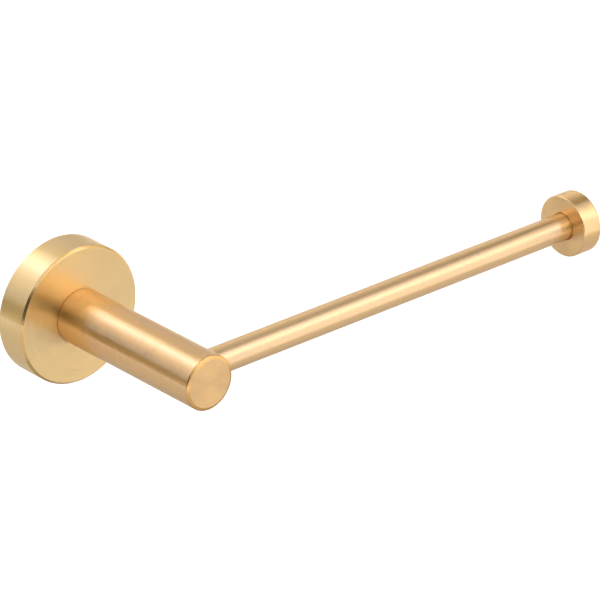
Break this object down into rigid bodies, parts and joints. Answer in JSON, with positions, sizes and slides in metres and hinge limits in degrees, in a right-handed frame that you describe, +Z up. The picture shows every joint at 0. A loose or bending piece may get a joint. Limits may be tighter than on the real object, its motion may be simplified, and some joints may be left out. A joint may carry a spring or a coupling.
{
  "type": "toilet paper holder",
  "caption": "Wall-mounted toilet roll holder: round rose, thick round post and a thinner open-ended round bar with an end disc, in brushed gold.",
  "frame": {"origin": "centre of the rose on the wall plane", "axes": "+Y points into the wall, the post runs along -Y, the bar runs along +X, +Z is up"},
  "size_m": [0.2089, 0.0817, 0.0508],
  "materials": {
    "brushed_gold": "fine brushed satin gold, turned on flat faces and brushed round the cylinders",
    "zinc_casting": "tumbled zinc, dull grey",
    "stainless_screw": "bright stainless steel",
    "plated_screw": "zinc-plated steel",
    "spring_steel": "dark oiled spring steel"
  },
  "bodies": {
    "holder": {"wall_bracket": "zinc_casting", "rose": "brushed_gold", "post": "brushed_gold", "post_screw": "plated_screw", "lock_washer": "spring_steel", "post_dowel": "stainless_screw", "roll_bar": "brushed_gold", "bar_stud": "plated_screw", "end_disc": "brushed_gold", "disc_stud": "plated_screw"},
    "grub": {"grub_screw": "stainless_screw"}
  },
  "joints": [
    {"name": "grub_screw_travel", "type": "slide", "parent": "holder", "child": "grub", "axis": [0, 0, -1], "range_m": [0, 0.002]}
  ]
}
